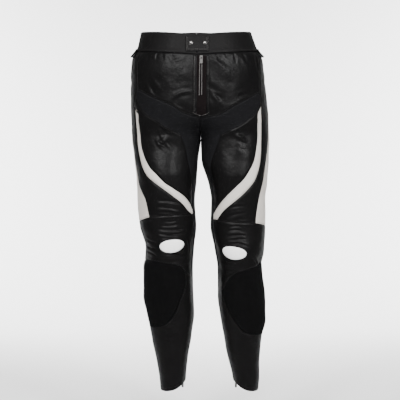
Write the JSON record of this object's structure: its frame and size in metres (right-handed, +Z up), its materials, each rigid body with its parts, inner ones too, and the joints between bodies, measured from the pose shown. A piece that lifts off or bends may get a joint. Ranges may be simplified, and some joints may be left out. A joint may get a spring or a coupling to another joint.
{
  "type": "motorcycle trousers",
  "caption": "Black leather motorcycle trousers with pale thigh stripes, stretch panels, knee-slider panels and a snap waist, hollow in their worn form.",
  "frame": {"origin": "middle of the waist, level with the waistband where the wearer holds the trousers up", "axes": "+Z up, +Y towards the back, +X towards the wearer's left"},
  "size_m": [0.4013, 0.2629, 1.0367],
  "materials": {
    "black_leather": "satin cowhide",
    "off_white_leather": "satin cowhide",
    "stretch_knit": "matte ribbed stretch knit",
    "hook_panel": "matte hook-and-loop pile",
    "white_print": "satin",
    "zip_tape": "woven",
    "zip_metal": "satin nickel"
  },
  "bodies": {
    "trousers": {"calf_left": "black_leather", "calf_right": "black_leather", "calf_slider_left": "zip_metal", "calf_slider_right": "zip_metal", "calf_zip_left": "zip_tape", "calf_zip_right": "zip_tape", "fly_chain": "zip_metal", "fly_edge_left": "black_leather", "fly_edge_right": "black_leather", "fly_slider": "zip_metal", "fly_tape": "zip_tape", "front_stripe_left": "off_white_leather", "front_stripe_right": "off_white_leather", "hip_outer_left": "black_leather", "hip_outer_right": "black_leather", "knee_left": "black_leather", "knee_patch_left": "white_print", "knee_patch_right": "white_print", "knee_right": "black_leather", "knee_slider_left": "hook_panel", "knee_slider_right": "hook_panel", "seat_left": "black_leather", "seat_right": "black_leather", "shin_left": "black_leather", "shin_right": "black_leather", "side_stripe_left": "off_white_leather", "side_stripe_right": "off_white_leather", "snap_left": "zip_metal", "snap_right": "zip_metal", "stretch_back_left": "stretch_knit", "stretch_back_right": "stretch_knit", "stretch_front_left": "stretch_knit", "stretch_front_right": "stretch_knit", "thigh_back_left": "black_leather", "thigh_back_right": "black_leather", "thigh_front_left": "black_leather", "thigh_front_right": "black_leather", "upper_front_left": "black_leather", "upper_front_right": "black_leather", "waist_tab": "black_leather", "waistband_back_left": "black_leather", "waistband_back_right": "black_leather", "waistband_front_left": "black_leather", "waistband_front_right": "black_leather", "waistband_side_left": "black_leather", "waistband_side_right": "black_leather", "zip_flap_left": "black_leather", "zip_flap_right": "black_leather"},
    "calf_pull_left": {"calf_pull_left": "zip_metal"},
    "calf_pull_right": {"calf_pull_right": "zip_metal"},
    "fly_pull": {"fly_pull": "zip_metal"}
  },
  "joints": [
    {"name": "fly_pull_swing", "type": "hinge", "parent": "trousers", "child": "fly_pull", "pos_m": [0.00557, -0.12341, -0.05497], "axis": [-0.9998, -0.0189, 0], "range_deg": [0, 150]},
    {"name": "calf_pull_right_swing", "type": "hinge", "parent": "trousers", "child": "calf_pull_right", "pos_m": [-0.04828, 0.04028, -0.9673], "axis": [0.7223, -0.6916, 0], "range_deg": [0, 150]},
    {"name": "calf_pull_left_swing", "type": "hinge", "parent": "trousers", "child": "calf_pull_left", "pos_m": [0.10594, 0.04023, -0.96767], "axis": [0.7183, 0.6958, 0], "range_deg": [0, 150]}
  ]
}
